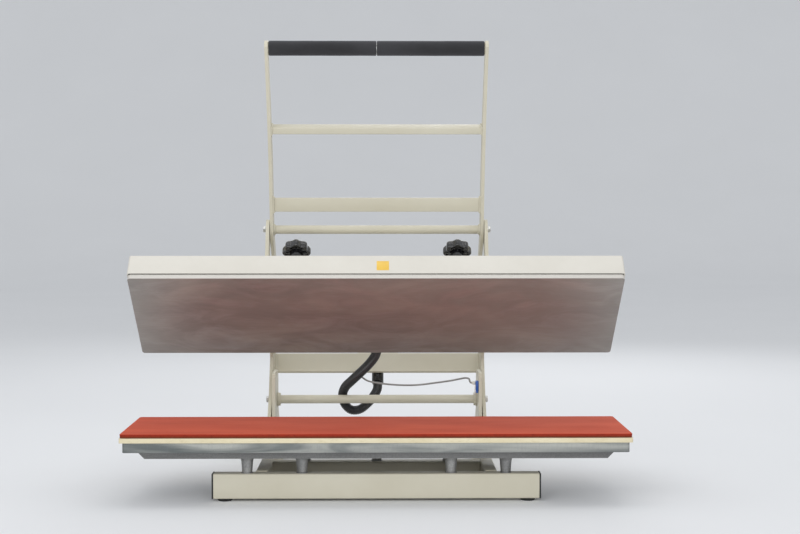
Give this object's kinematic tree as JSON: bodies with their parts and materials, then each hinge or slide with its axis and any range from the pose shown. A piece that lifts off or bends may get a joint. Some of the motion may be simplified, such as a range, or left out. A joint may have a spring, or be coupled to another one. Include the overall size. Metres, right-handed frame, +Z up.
{
  "type": "trouser press",
  "caption": "Bench clamshell trouser press: long padded bed, hinged heated platen held open, two pressure knobs and a U-shaped lever with a foam grip",
  "frame": {"origin": "middle of the footprint, on the surface that the rubber feet stand on", "axes": "+X along the bed to the operator's right, +Y away from the operator, +Z up"},
  "size_m": [1.004, 0.641, 0.9292],
  "materials": {
    "frame_paint": "cream powder coat, satin",
    "cover_paint": "off-white powder coat, satin",
    "platen_aluminium": "machined and brushed, lightly marked",
    "cast_aluminium": "sand-cast, milled edges",
    "silicone": "matt terracotta silicone sponge",
    "board": "cream heat-proof board",
    "black_plastic": "glossy black phenolic plastic",
    "cap_plastic": "moulded black end cap",
    "foam": "closed-cell foam grip, matt",
    "foot_rubber": "moulded rubber foot",
    "zinc_steel": "zinc-plated steel",
    "hose_plastic": "corrugated black conduit",
    "wire_plastic": "grey PVC insulation",
    "switch_plastic": "blue moulded switch case",
    "white_plastic": "off-white moulded plastic"
  },
  "bodies": {
    "base": {"front_beam": "frame_paint", "rear_beam": "frame_paint", "rail_left": "frame_paint", "rail_right": "frame_paint", "support_beam": "frame_paint", "front_cap_left": "cap_plastic", "front_cap_right": "cap_plastic", "rear_cap_left": "cap_plastic", "rear_cap_right": "cap_plastic", "front_foot_left": "foot_rubber", "front_foot_right": "foot_rubber", "rear_foot_left": "foot_rubber", "rear_foot_right": "foot_rubber", "bed_casting": "cast_aluminium", "press_board": "board", "silicone_pad": "silicone", "upright_left": "frame_paint", "upright_right": "frame_paint", "hinge_tube": "frame_paint", "hinge_left_bolt": "zinc_steel", "hinge_right_bolt": "zinc_steel", "limit_switch": "switch_plastic", "switch_wire": "wire_plastic", "front_leg_1": "cast_aluminium", "front_leg_2": "cast_aluminium", "front_leg_3": "cast_aluminium", "front_leg_4": "cast_aluminium", "rear_leg_1": "cast_aluminium", "rear_leg_2": "cast_aluminium", "rear_leg_3": "cast_aluminium"},
    "arm": {"arm_left": "frame_paint", "arm_right": "frame_paint", "lever_left_bolt": "zinc_steel", "lever_right_bolt": "zinc_steel", "arm_rear_plate": "frame_paint", "pressure_beam": "frame_paint", "platen": "platen_aluminium", "platen_cover": "cover_paint", "platen_bracket_left": "frame_paint", "platen_bracket_right": "frame_paint", "guide_post_left": "zinc_steel", "guide_post_right": "zinc_steel", "terminal_box": "white_plastic", "hose_gland": "black_plastic", "hose_outlet": "black_plastic", "heater_hose": "hose_plastic"},
    "lever": {"lever_plate_left": "frame_paint", "lever_plate_right": "frame_paint", "lever_pivot_tube": "frame_paint", "lever_mid_bar": "frame_paint", "lever_crossbar": "frame_paint", "grip_tube": "zinc_steel", "grip_foam_left": "foam", "grip_foam_right": "foam", "tail_rod": "zinc_steel"},
    "pressure_knob_left": {"knob_left": "black_plastic", "screw_left": "zinc_steel"},
    "pressure_knob_right": {"knob_right": "black_plastic", "screw_right": "zinc_steel"},
    "switch_arm": {"switch_lever": "zinc_steel"}
  },
  "joints": [
    {"name": "platen_hinge", "type": "hinge", "parent": "base", "child": "arm", "pos_m": [0, 0.1205, 0.154], "axis": [1, 0, 0], "range_deg": [0, 42]},
    {"name": "lever_pivot", "type": "hinge", "parent": "arm", "child": "lever", "pos_m": [0, 0.05168, 0.53488], "axis": [1, 0, 0], "range_deg": [0, 56]},
    {"name": "knob_left_turn", "type": "hinge", "parent": "arm", "child": "pressure_knob_left", "pos_m": [-0.1725, -0.01002, 0.48279], "axis": [0, 0.6691, 0.7431], "range_deg": [-360, 360]},
    {"name": "knob_right_turn", "type": "hinge", "parent": "arm", "child": "pressure_knob_right", "pos_m": [0.1725, -0.01002, 0.48279], "axis": [0, 0.6691, 0.7431], "range_deg": [-360, 360]},
    {"name": "switch_lever_pivot", "type": "hinge", "parent": "base", "child": "switch_arm", "pos_m": [0.2152, 0.0527, 0.194], "axis": [1, 0, 0], "range_deg": [0, 8]}
  ],
  "couplings": [
    {"joint": "lever_pivot", "follows": "platen_hinge", "ratio": 1.3333},
    {"joint": "switch_lever_pivot", "follows": "platen_hinge", "ratio": 0.1904}
  ]
}
